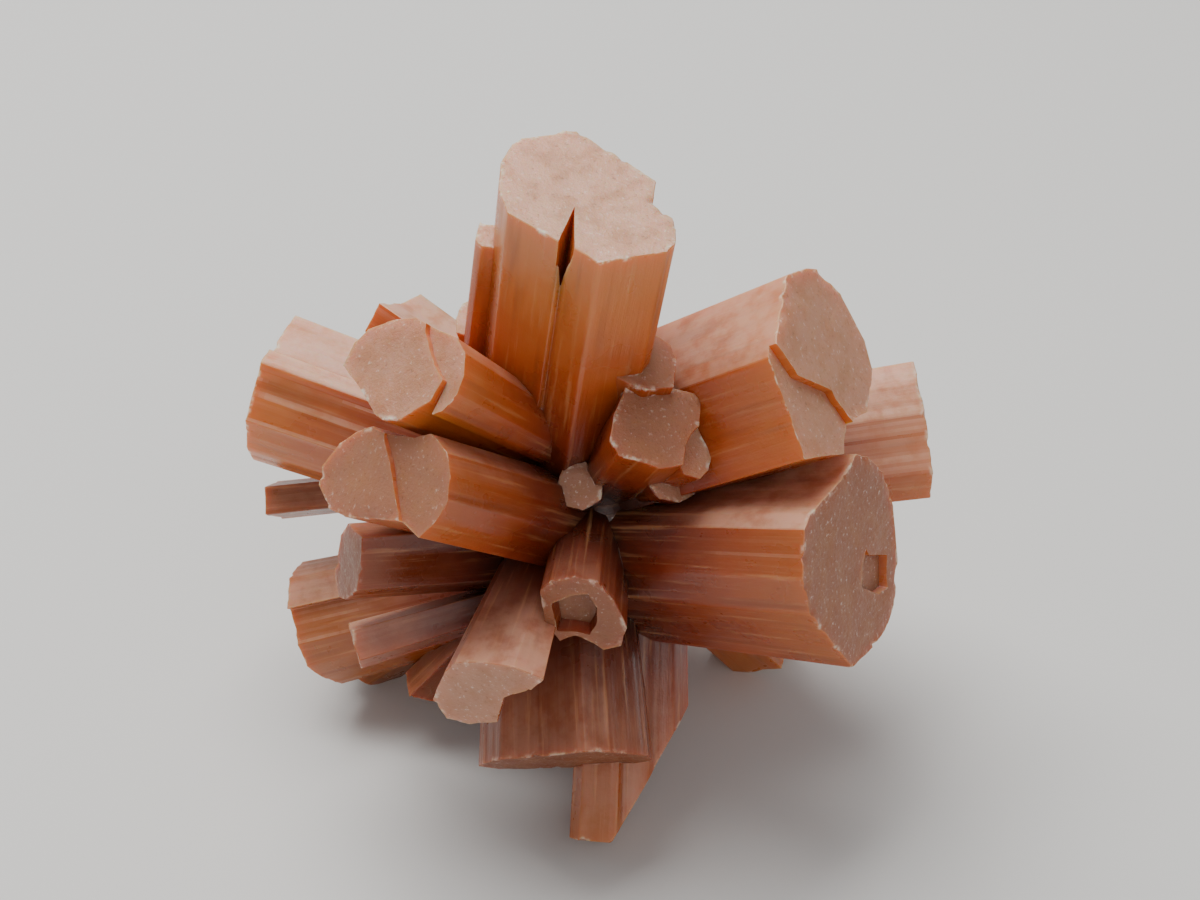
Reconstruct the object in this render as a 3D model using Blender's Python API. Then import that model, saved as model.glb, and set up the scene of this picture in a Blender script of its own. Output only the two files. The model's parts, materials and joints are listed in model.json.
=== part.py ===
"""Cluster of aragonite crystals that have grown outwards from one centre, as a single closed solid.

Every crystal is a prism. Its end face is an outline given by corners, each an angle and a radius
about the crystal's own axis, and the outline shrinks towards the centre of the cluster. A rough lump
fills the middle, the crystals are joined to it, steps and hollows are cut out of the end faces, and
the tips that stand on the floor are trimmed level. Metres, +Z up, origin on the floor under the
middle of the cluster.
"""
from collections import namedtuple
from math import cos, radians, sin

import bmesh
import bpy
from mathutils import Matrix, Vector

NAME = "aragonite_cluster"
MM = 0.001

# Centre that the crystals grow from, above the floor, in mm
CORE = Vector((0.3, -1.6, 17.7))
LUMP_RADIUS = 6.7
LUMP_BUMP = 0.05

# How far the shapes that cut hollows stand above the end face, in mm
CLEARANCE = 1.0

# Groove along the side of a crystal: share of the side from its first corner, share of the radius
GROOVE = ((0.40, 0.89), (0.48, 0.76), (0.60, 0.87))

# Block that trims the standing tips, larger than the cluster, in mm
BLOCK_SIZE = 80.0

Crystal = namedtuple("Crystal", "name tip azimuth elevation length taper lean corners")
Break = namedtuple("Break", "crystal angle radius tilt")
Hollow = namedtuple("Hollow", "name crystal depth shrink corners")


def sides(radius, turn, factors, grooved=()):
    """Uneven outline with equal angles between its corners, and a groove along some of its sides."""
    step = 360.0 / len(factors)
    corners = []
    for index, factor in enumerate(factors):
        angle = turn + step * index
        corners.append((angle, radius * factor))
        if index in grooved:
            corners += [(angle + along * step, share * radius) for along, share in GROOVE]
    return corners


# Middle of the end face in mm from the core, direction of the axis in degrees, length in mm, width at
# the foot as a share of the width at the tip, sideways shift of the foot in mm, corners of the end
# face in degrees and mm. A corner at 0 degrees is on the low side of the crystal.
CRYSTALS = [
    # Upright crystal with a notch on the right, and a slab and a sliver on its left
    Crystal("top", (-0.2, -3.9, 23.2), -55.7, 77.4, 23.0, 0.92, (0, 0), [
        (238, 4.7), (210, 5.2), (192, 5.7), (184, 5.8), (164, 5.5), (159, 5.8), (151, 5.7),
        (120, 4.3), (83, 4.4), (56, 3.7), (44, 4.9), (36, 5.3), (24, 5.8), (15, 5.9), (0, 5.3),
        (335, 5.3), (316, 4.2), (312, 3.9), (309, 4.2), (261, 4.6)]),
    Crystal("top slab", (-5.4, -2.7, 20.1), -55.7, 77.4, 12.5, 1.0, (0, 0), [
        (179, 1.3), (169, 1.0), (124, 1.1), (60, 1.6), (11, 1.2), (318, 1.0), (297, 1.1),
        (264, 1.0)]),
    Crystal("top sliver", (-7.1, -0.3, 13.2), -35, 80.6, 13.0, 1.0, (4.5, 3.0), [
        (210, 0.7), (140, 1.4), (126, 1.7), (80, 2.0), (20, 1.8), (344, 1.3), (310, 1.6),
        (284, 1.5)]),
    # Upper right crystal, with a step across its end face
    Crystal("upper right", (13.4, -4.1, 12.7), -22.3, 33.2, 18.6, 0.92, (0, 0), [
        (167, 5.4), (143, 5.6), (132, 5.8), (107, 5.5), (73, 5.2), (53, 5.1), (30, 4.6), (15, 4.4),
        (352, 3.7), (335, 4.6), (332, 5.3), (306, 5.8), (292, 6.8), (271, 5.2), (234, 5.2),
        (220, 4.8)]),
    # Large right crystal, and the one behind it
    Crystal("right", (14.9, -9.7, 2.7), -29.4, 14.1, 17.8, 0.84, (0.8, -0.5), [
        (151, 6.2), (137, 6.2), (114, 6.3), (91, 6.1), (59, 6.4), (38, 6.9), (22, 6.9), (6, 6.4),
        (341, 6.3), (310, 4.8), (273, 5.2), (248, 5.8), (221, 6.3), (212, 6.1), (188, 5.1),
        (165, 5.2)]),
    Crystal("far right", (20.3, 3.9, 2.4), 8.7, 3.6, 20.0, 0.85, (0, 0), [
        (160, 4.5), (178, 3.6), (211, 2.7), (283, 3.5), (316, 4.2), (8, 4.4), (84, 4.4)]),
    # Left crystal, with ridges along its upper side
    Crystal("left", (-20.3, 7.1, 3.5), 160.7, 9.4, 21.0, 0.85, (0, 0), [
        (278, 6.0), (338, 6.2), (11, 5.2), (35, 3.9), (76, 2.9), (151, 2.6), (157, 3.0), (181, 3.0),
        (185, 2.7), (202, 3.1), (207, 3.3), (228, 5.0)]),
    # Upper left crystal of two individuals with a groove between them
    Crystal("upper left", (-10.3, -7.2, 14.3), -144, 43.1, 18.9, 0.62, (0, 0), [
        (296, 4.7), (278, 4.5), (263, 4.1), (238, 3.3), (207, 3.0), (184, 2.8), (164, 3.1),
        (149, 3.7), (132, 4.2), (114, 4.4), (100, 4.4), (83, 4.1), (74, 3.7), (106, 3.3), (83, 3.3),
        (57, 3.0), (43, 3.1), (18, 3.1), (2, 3.0), (327, 3.0)]),
    # Left lower crystal of two lobes
    Crystal("lower left", (-11.4, -10.4, 9.0), -138.3, 32.1, 17.9, 0.95, (1.3, 0.6), [
        (299, 5.1), (287, 5.0), (266, 4.2), (240, 3.5), (226, 3.2), (210, 2.6), (168, 3.0),
        (155, 4.1), (135, 4.7), (119, 4.8), (103, 4.8), (87, 4.5), (66, 4.1), (58, 2.7), (26, 2.2),
        (333, 3.5), (317, 4.5)]),
    # Crystals below them
    Crystal("left dark", (-20.4, 6.6, -4.8), 164.8, -17.1, 15.0, 0.9, (0, 0), [
        (357, 1.6), (85, 1.5), (164, 1.3), (245, 1.4)]),
    Crystal("left under", (-14.2, -6.7, 0.1), -161, 9.5, 15.4, 1.0, (0, 0), [
        (248, 2.2), (200, 2.6), (151, 3.8), (132, 3.0), (86, 2.2), (6, 2.3), (342, 3.1),
        (315, 3.2)]),
    Crystal("foot left", (-18.0, 2.6, -11.3), 166.9, -24.5, 21.0, 0.75, (0, 0), [
        (275, 4.4), (333, 5.0), (10, 5.0), (36, 3.9), (63, 3.5), (89, 2.8), (141, 2.4), (140, 2.8),
        (180, 3.3), (218, 3.7)]),
    Crystal("left small", (-14.2, -6.4, -6.2), -165.7, -9.5, 12.0, 0.8, (0, 0), [
        (247, 1.6), (307, 2.0), (15, 1.6), (98, 1.8), (159, 1.9)]),
    Crystal("left low", (-10.5, -0.7, -14.2), -177.5, -50.9, 16.0, 0.7, (0, 0), [
        (254, 2.1), (319, 2.0), (33, 1.6), (101, 1.6), (123, 2.5), (181, 1.7)]),
    # Front crystals that lean out and down
    Crystal("front left", (-5.8, -14.4, -3.0), -105.6, -12.8, 15.7, 0.5, (0, 0), [
        (297, 3.9), (279, 3.1), (244, 2.7), (217, 2.8), (184, 2.7), (147, 3.4), (121, 4.1),
        (110, 2.9), (74, 1.0), (7, 2.8), (338, 3.8), (320, 4.4)]),
    Crystal("front crescent", (-0.4, -12.0, 0.7), -95.1, -4.7, 10.0, 0.8, (0, 0), [
        (235, 2.9), (217, 3.0), (188, 2.9), (159, 2.7), (124, 2.2), (71, 2.7), (44, 3.2), (24, 3.0),
        (13, 2.2), (345, 1.9), (330, 2.7), (290, 2.3)]),
    Crystal("front low", (-1.4, -12.0, -10.5), -87.4, -41, 15.9, 0.8, (0, 0), [
        (302, 4.8), (343, 3.1), (41, 4.1), (79, 5.3), (108, 5.1), (148, 4.7), (167, 4.6), (211, 3.3),
        (242, 4.4), (265, 5.0), (279, 5.3)]),
    # Crystals that reach the floor in front and at the back
    Crystal("foot front", (1.0, -11.8, -16.8), -93.5, -55, 20.4, 0.8, (0, 0), [
        (329, 2.5), (56, 4.2), (81, 5.2), (101, 4.3), (137, 2.5), (152, 2.1), (163, 2.4),
        (219, 2.5), (248, 2.4)]),
    Crystal("foot back right", (11.0, 7.4, -16.2), 33.9, -50.7, 20.0, 0.7, (0, 0), [
        (208, 3.6), (252, 3.0), (281, 3.9), (338, 3.3), (20, 3.2), (70, 2.6), (74, 2.1), (79, 2.7),
        (115, 3.0), (160, 3.3)]),
    Crystal("foot back left", (-15.0, 5.6, -16.1), 157.5, -44.4, 21.0, 0.7, (0, 0), [
        (5, 3.1), (52, 2.9), (96, 3.0), (148, 2.7), (153, 2.2), (160, 2.8), (200, 3.3), (252, 3.2),
        (306, 3.0)]),
    # Short crystals in the middle
    Crystal("middle cap", (3.7, -7.7, 10.9), -64.2, 51.8, 13.9, 0.8, (0, 0), [
        (201, 2.6), (182, 2.7), (150, 2.4), (111, 3.1), (100, 3.2), (72, 2.6), (62, 2.2), (39, 2.1),
        (15, 2.8), (344, 2.6), (314, 2.5), (294, 3.0), (274, 2.9), (238, 2.4)]),
    Crystal("middle twin", (6.1, -7.6, 8.7), -51.3, 41.8, 13.0, 0.8, (0, 0), [
        (197, 2.3), (151, 1.7), (125, 1.0), (68, 1.0), (19, 1.1), (339, 1.4), (296, 1.5),
        (238, 1.6)]),
    Crystal("middle wedge", (4.7, -7.1, 6.2), -56.5, 35.9, 10.6, 0.8, (0, 0), [
        (210, 1.4), (145, 1.1), (87, 1.2), (54, 1.6), (7, 1.1), (296, 1.1), (251, 1.4)]),
    Crystal("middle lump", (3.4, -4.8, 13.3), -54.8, 65.9, 14.6, 0.8, (0, 0), [
        (136, 1.9), (102, 1.8), (62, 1.6), (6, 2.2), (319, 2.2), (276, 2.5), (241, 1.3),
        (172, 1.1)]),
    Crystal("middle small", (-0.5, -6.5, 5.7), -94.7, 41.0, 8.7, 0.9, (0, 0), [
        (273, 1.4), (224, 1.6), (172, 1.5), (114, 1.4), (60, 1.4), (8, 1.4), (320, 1.5)]),
    Crystal("middle stub", (-1.0, -3.4, 6.5), -106.9, 61.6, 7.4, 0.9, (0, 0), [
        (268, 1.2), (231, 1.2), (154, 1.2), (98, 1.2), (50, 1.3), (336, 1.1)]),
    # Crystals round the back and underneath
    Crystal("upper back left", (-13.2, 10.1, 6.9), 147.7, 17.8, 17.9, 0.75, (0, 0), [
        (75, 1.5), (160, 1.6), (278, 2.5), (281, 4.8), (312, 5.2), (2, 3.3)]),
    Crystal("back up", (-0.6, 15.0, 8.5), 94, 29, 17.0, 0.7, (0, 0),
            sides(4.1, 12, (1.0, 0.93, 1.05, 0.96, 1.04, 0.9), (1, 4))),
    Crystal("back", (0.3, 18.4, -3.1), 88, -9, 18.6, 0.65, (0, 0),
            sides(4.5, 40, (0.95, 1.04, 0.9, 1.06, 0.97, 1.02), (0, 2, 4))),
    Crystal("back right", (12.6, 12.5, -4.1), 44, -13, 18.0, 0.7, (0, 0),
            sides(4.0, 25, (1.05, 0.92, 1.0, 1.06, 0.9, 0.98), (2, 5))),
    Crystal("back left", (-10.5, 13.3, -3.8), 129, -13, 17.6, 0.7, (0, 0),
            sides(3.9, 5, (0.93, 1.05, 0.98, 1.0, 0.9, 1.06), (1, 3))),
    Crystal("back low", (-1.4, 10.2, -12.9), 98, -52, 16.4, 0.7, (0, 0),
            sides(3.6, 33, (1.0, 1.05, 0.9, 1.04, 0.93, 1.0), (0, 3))),
    Crystal("back short", (6.4, 7.1, 5.5), 48, 30, 11.0, 0.8, (0, 0),
            sides(3.0, 20, (1.0, 0.9, 1.05, 0.95, 1.03, 0.92), (4,))),
    Crystal("back thin", (6.3, 14.1, 1.6), 66, 6, 15.4, 0.8, (0, 0),
            sides(1.9, 14, (1.0, 0.86, 1.08, 0.9, 1.02, 0.95))),
    Crystal("back slant", (7.4, 10.1, -10.0), 54, -39, 15.8, 0.75, (0, 0),
            sides(2.2, 47, (0.92, 1.06, 0.95, 1.0, 0.88, 1.05), (2,))),
    Crystal("back edge", (-13.4, 8.9, 0.4), 146, 1, 16.0, 0.8, (0, 0),
            sides(1.8, 30, (1.0, 0.9, 1.1, 0.88, 1.0, 0.94))),
    Crystal("back splinter", (-6.9, 11.6, -9.8), 121, -36, 16.4, 0.8, (0, 0),
            sides(2.0, 18, (1.05, 0.9, 1.0, 0.94, 1.08, 0.9), (5,))),
    Crystal("back upright", (-1.6, 8.6, 9.6), 101, 48, 12.6, 0.8, (0, 0),
            sides(2.3, 52, (0.96, 1.06, 0.9, 1.02, 0.94, 1.0), (3,))),
    Crystal("right back edge", (14.8, 7.0, -6.2), 25, -21, 17.0, 0.75, (0, 0),
            sides(2.3, 9, (1.0, 0.92, 1.06, 0.9, 1.04, 0.96), (1,))),
    Crystal("under", (1.5, 0.6, -12.9), 10, -84, 13.0, 0.8, (0, 0),
            sides(3.2, 8, (1.03, 0.94, 1.0, 0.92, 1.06, 0.98), (1, 4))),
    Crystal("under left", (-7.6, 1.6, -11.6), 168, -56, 13.6, 0.8, (0, 0),
            sides(2.2, 40, (0.95, 1.04, 0.9, 1.06, 0.97, 1.02))),
    Crystal("under right", (6.7, -2.2, -6.8), -18, -44, 9.8, 0.9, (0, 0),
            sides(3.0, 28, (0.95, 1.05, 0.92, 1.02, 0.98, 1.04))),
]

# Slanted ends: crystal, side that is broken off in degrees, where the slant meets the end face in mm
# from the axis, tilt of the slant's normal from the end face in degrees
BREAKS = [
    Break("foot front", 90, 0.4, 30),
]

# Steps, clefts and hollows in end faces: name, crystal, depth in mm, width at the bottom as a share
# of the width at the end face, corners on the end face in degrees and mm
HOLLOWS = [
    Hollow("cleft", "top", 6.5, 0.15, [(320, 4.6), (279, 0.7), (306, 4.6)]),
    Hollow("upper right step", "upper right", 0.5, 1.0, [
        (353, 5.0), (341, 2.7), (332, 2.2), (324, 1.7), (275, 2.1), (251, 3.5), (229, 4.6),
        (215, 6.5), (250, 8.0), (300, 9.0), (340, 8.0)]),
    Hollow("twin step", "upper left", 0.4, 1.0, [
        (106, 3.3), (122, 2.3), (180, 2.3), (200, 4.5), (160, 6.0), (120, 6.5), (80, 6.0),
        (73, 3.4)]),
    Hollow("lobe step", "lower left", 0.3, 1.0, [
        (212, 5.0), (212, 2.5), (182, 1.1), (58, 2.6), (56, 5.5), (90, 7.0), (130, 7.0),
        (180, 6.0)]),
    Hollow("right chip", "right", 0.5, 0.8, [
        (89, 1.9), (72, 2.3), (64, 5.2), (41, 5.9), (32, 4.9), (13, 2.3), (51, 1.5)]),
    Hollow("crescent hollow", "front crescent", 0.9, 0.8, [
        (246, 2.1), (203, 1.8), (167, 1.9), (124, 1.2), (51, 1.2), (15, 1.9), (345, 1.7),
        (314, 2.2)]),
    Hollow("back step", "back", 0.5, 1.0, [
        (20, 6.0), (28, 2.0), (92, 0.6), (170, 2.6), (182, 6.0), (140, 7.0), (100, 7.5), (60, 7.0)]),
    Hollow("back right step", "back right", 0.4, 1.0, [
        (205, 6.0), (212, 1.9), (262, 1.2), (312, 3.1), (318, 6.0), (290, 7.0), (240, 7.0)]),
    Hollow("back left step", "back left", 0.45, 1.0, [
        (330, 6.0), (340, 1.5), (25, 0.9), (80, 2.4), (88, 6.0), (60, 7.0), (5, 7.0)]),
    Hollow("back up step", "back up", 0.4, 1.0, [
        (150, 6.0), (158, 2.2), (205, 1.1), (250, 2.8), (255, 6.0), (225, 7.0), (180, 7.0)]),
]


def polar(angle, radius, height=0.0):
    """Point at an angle and a radius about the local axis."""
    return Vector((radius * cos(radians(angle)), radius * sin(radians(angle)), height))


def prism(name, crystal, corners, top, bottom, shrink=1.0):
    """Prism about a crystal's axis from one height to another, both measured from the end face."""
    tilt = Matrix.Rotation(radians(90.0 - crystal.elevation), 3, "Y")
    spin = Matrix.Rotation(radians(crystal.azimuth), 3, "Z")
    place = Matrix.LocRotScale(CORE + Vector(crystal.tip), spin @ tilt, None)
    shape = bmesh.new()
    ring = [shape.verts.new(polar(angle, radius)) for angle, radius in corners]
    loop = [shape.edges.new((first, second)) for first, second in zip(ring, ring[1:] + ring[:1])]
    cap = bmesh.ops.edgeloop_fill(shape, edges=loop)["faces"]
    grown = bmesh.ops.extrude_face_region(shape, geom=cap)["geom"]
    far = [item for item in grown if isinstance(item, bmesh.types.BMVert)]
    middle = sum((vertex.co for vertex in ring), Vector()) / len(ring)
    bmesh.ops.scale(shape, vec=(shrink, shrink, 1.0), verts=ring,
                    space=Matrix.Translation(-middle))
    for verts, height in ((ring, bottom), (far, top)):
        share = -height / crystal.length
        width = 1.0 + (crystal.taper - 1.0) * share
        shift = Vector((crystal.lean[0] * share, crystal.lean[1] * share, height))
        bmesh.ops.scale(shape, vec=(width, width, 1.0), verts=verts)
        bmesh.ops.translate(shape, vec=shift, verts=verts)
    for item in BREAKS:
        if item.crystal == name:
            side = polar(item.angle, cos(radians(item.tilt)), sin(radians(item.tilt)))
            cut = bmesh.ops.bisect_plane(
                shape, geom=shape.verts[:] + shape.edges[:] + shape.faces[:],
                plane_co=polar(item.angle, item.radius), plane_no=side, clear_outer=True)
            rim = [part for part in cut["geom_cut"] if isinstance(part, bmesh.types.BMEdge)]
            bmesh.ops.edgeloop_fill(shape, edges=rim)
    bmesh.ops.recalc_face_normals(shape, faces=shape.faces[:])
    bmesh.ops.transform(shape, matrix=Matrix.Scale(MM, 4) @ place, verts=shape.verts[:])
    return finished(name, shape)


def finished(name, shape):
    """Turns a worked shape into an object that isn't linked to any collection yet."""
    mesh = bpy.data.meshes.new(name)
    shape.to_mesh(mesh)
    shape.free()
    return bpy.data.objects.new(name, mesh)


def lump():
    """Rough rounded lump in the middle, where all the crystals start."""
    shape = bmesh.new()
    bmesh.ops.create_icosphere(shape, subdivisions=2, radius=LUMP_RADIUS)
    for vertex in shape.verts:
        bump = sin(1.3 * vertex.co.x + 0.4) * cos(1.1 * vertex.co.y) + sin(0.9 * vertex.co.z)
        vertex.co *= 1.0 + LUMP_BUMP * bump
    bmesh.ops.translate(shape, vec=CORE, verts=shape.verts[:])
    bmesh.ops.scale(shape, vec=(MM, MM, MM), verts=shape.verts[:])
    return finished(NAME, shape)


def floor_block():
    """Block whose top face is the floor, to trim the standing tips level."""
    shape = bmesh.new()
    bmesh.ops.create_cube(shape, size=BLOCK_SIZE)
    bmesh.ops.translate(shape, vec=(0.0, 0.0, -BLOCK_SIZE / 2.0), verts=shape.verts[:])
    bmesh.ops.scale(shape, vec=(MM, MM, MM), verts=shape.verts[:])
    return finished("floor block", shape)


def aragonite():
    """Plain orange brown stone with a satin finish."""
    stone = bpy.data.materials.new("orange aragonite")
    stone.use_nodes = True
    shader = stone.node_tree.nodes["Principled BSDF"]
    shader.inputs["Base Color"].default_value = (0.40, 0.13, 0.045, 1.0)
    shader.inputs["Roughness"].default_value = 0.42
    shader.inputs["Metallic"].default_value = 0.0
    return stone


def join(target, other, operation):
    """Adds one exact Boolean of another object to the target."""
    cutters.objects.link(other)
    step = target.modifiers.new(f"{operation.lower()} {other.name}", "BOOLEAN")
    step.operation = operation
    step.solver = "EXACT"
    step.object = other


for item in list(bpy.data.objects):
    bpy.data.objects.remove(item, do_unlink=True)

parts = bpy.data.collections.new("aragonite crystal cluster")
cutters = bpy.data.collections.new("cutters")
bpy.context.scene.collection.children.link(parts)
bpy.context.scene.collection.children.link(cutters)

cluster = lump()
parts.objects.link(cluster)
cluster.data.materials.append(aragonite())

for crystal in CRYSTALS:
    body = prism(crystal.name, crystal, crystal.corners, 0.0, -crystal.length)
    for item in HOLLOWS:
        if item.crystal == crystal.name:
            hollow = prism(item.name, crystal, item.corners, CLEARANCE, -item.depth, item.shrink)
            join(body, hollow, "DIFFERENCE")
    join(cluster, body, "UNION")

join(cluster, floor_block(), "DIFFERENCE")

for item in cutters.objects:
    item.hide_render = True
    item.display_type = "WIRE"
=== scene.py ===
# %% [markdown]
# # A ball of aragonite crystals
#
# Aragonite can grow as a ball of thick prisms that start from one point. Each prism is really three
# crystals side by side, so its outline has six sides with notches and grooves, and it ends in a flat
# frosted face. This file makes the surface of such a ball: first every crystal as a closed mesh, then
# one skin out of all of them, then the stone's translucent orange material.

# %% Load the frame
import json
import math
from collections import namedtuple

import bmesh
import bpy
import numpy as np
from mathutils import Matrix, Vector
from mathutils.geometry import delaunay_2d_cdt

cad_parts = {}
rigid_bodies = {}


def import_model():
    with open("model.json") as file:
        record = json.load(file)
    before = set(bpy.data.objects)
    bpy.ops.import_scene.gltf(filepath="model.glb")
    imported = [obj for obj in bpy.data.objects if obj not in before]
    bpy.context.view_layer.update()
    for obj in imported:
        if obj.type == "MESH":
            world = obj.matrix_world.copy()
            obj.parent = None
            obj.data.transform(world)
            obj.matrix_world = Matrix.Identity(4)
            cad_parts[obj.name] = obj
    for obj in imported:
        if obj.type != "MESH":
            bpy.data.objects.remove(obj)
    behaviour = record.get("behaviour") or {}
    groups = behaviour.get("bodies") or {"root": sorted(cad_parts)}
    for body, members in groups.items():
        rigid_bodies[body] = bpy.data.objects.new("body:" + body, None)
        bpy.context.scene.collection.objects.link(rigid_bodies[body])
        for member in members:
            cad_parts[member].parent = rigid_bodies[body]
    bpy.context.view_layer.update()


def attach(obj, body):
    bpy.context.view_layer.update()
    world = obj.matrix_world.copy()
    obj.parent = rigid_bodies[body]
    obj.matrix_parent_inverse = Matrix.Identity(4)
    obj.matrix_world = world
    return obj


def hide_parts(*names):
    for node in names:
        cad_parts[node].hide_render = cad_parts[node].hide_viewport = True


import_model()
scene = bpy.context.scene
MM = 0.001

# %% [markdown]
# ## The camera
#
# The photo looks down on the ball from in front. Neither the angle nor the distance can be measured in
# it, so both were judged: 35 degrees down, from three and a half widths away. The camera comes
# first, so that each piece made after it can be looked at from the photo's side.

# %% Camera
CORE = np.array([0.3, -1.6, 17.7])      # where all the crystals start, in mm
LOOK_DOWN = 35.0                        # degrees
DISTANCE = 150.0                        # mm from the core, along the view
CENTRE_RIGHT, CENTRE_UP = 0.61, 3.05    # mm from the core to the middle of the picture
PICTURE = (1200, 900)
FOCAL_PIXELS = 2460.0
SENSOR = 36.0

tilt = math.radians(LOOK_DOWN)
right = np.array([1.0, 0.0, 0.0])
up = np.array([0.0, math.sin(tilt), math.cos(tilt)])
back = np.array([0.0, -math.cos(tilt), math.sin(tilt)])
eye = CORE + CENTRE_RIGHT * right + CENTRE_UP * up + DISTANCE * back

lens = bpy.data.cameras.new("camera")
lens.sensor_width = SENSOR
lens.lens = SENSOR * FOCAL_PIXELS / PICTURE[0]
lens.clip_start = 0.01
camera = bpy.data.objects.new("camera", lens)
camera.matrix_world = Matrix((
    (right[0], up[0], back[0], eye[0] * MM),
    (right[1], up[1], back[1], eye[1] * MM),
    (right[2], up[2], back[2], eye[2] * MM),
    (0.0, 0.0, 0.0, 1.0)))
scene.collection.objects.link(camera)
scene.camera = camera
print("lens in mm:", round(lens.lens, 1))

# %% [markdown]
# ## The table of crystals
#
# Nature doesn't repeat itself here, so each crystal has its own row: the middle of its end face, the
# direction of its axis, its length, how much it narrows inwards, how far it leans, and the corners of
# its end face as angles and distances from the axis. The sizes are those of the solid. Only the hidden
# crystals at the back and underneath have outlines from a small formula.

# %% Crystals
Crystal = namedtuple("Crystal", "name tip azimuth elevation length taper lean corners")
GROOVE = ((0.40, 0.89), (0.48, 0.76), (0.60, 0.87))


def sides(radius, turn, factors, grooved=()):
    """Corners at equal angles, each at the radius times its factor, with a groove along some sides."""
    step = 360.0 / len(factors)
    corners = []
    for index, factor in enumerate(factors):
        angle = turn + step * index
        corners.append((angle, radius * factor))
        if index in grooved:
            corners += [(angle + along * step, share * radius) for along, share in GROOVE]
    return corners


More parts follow.
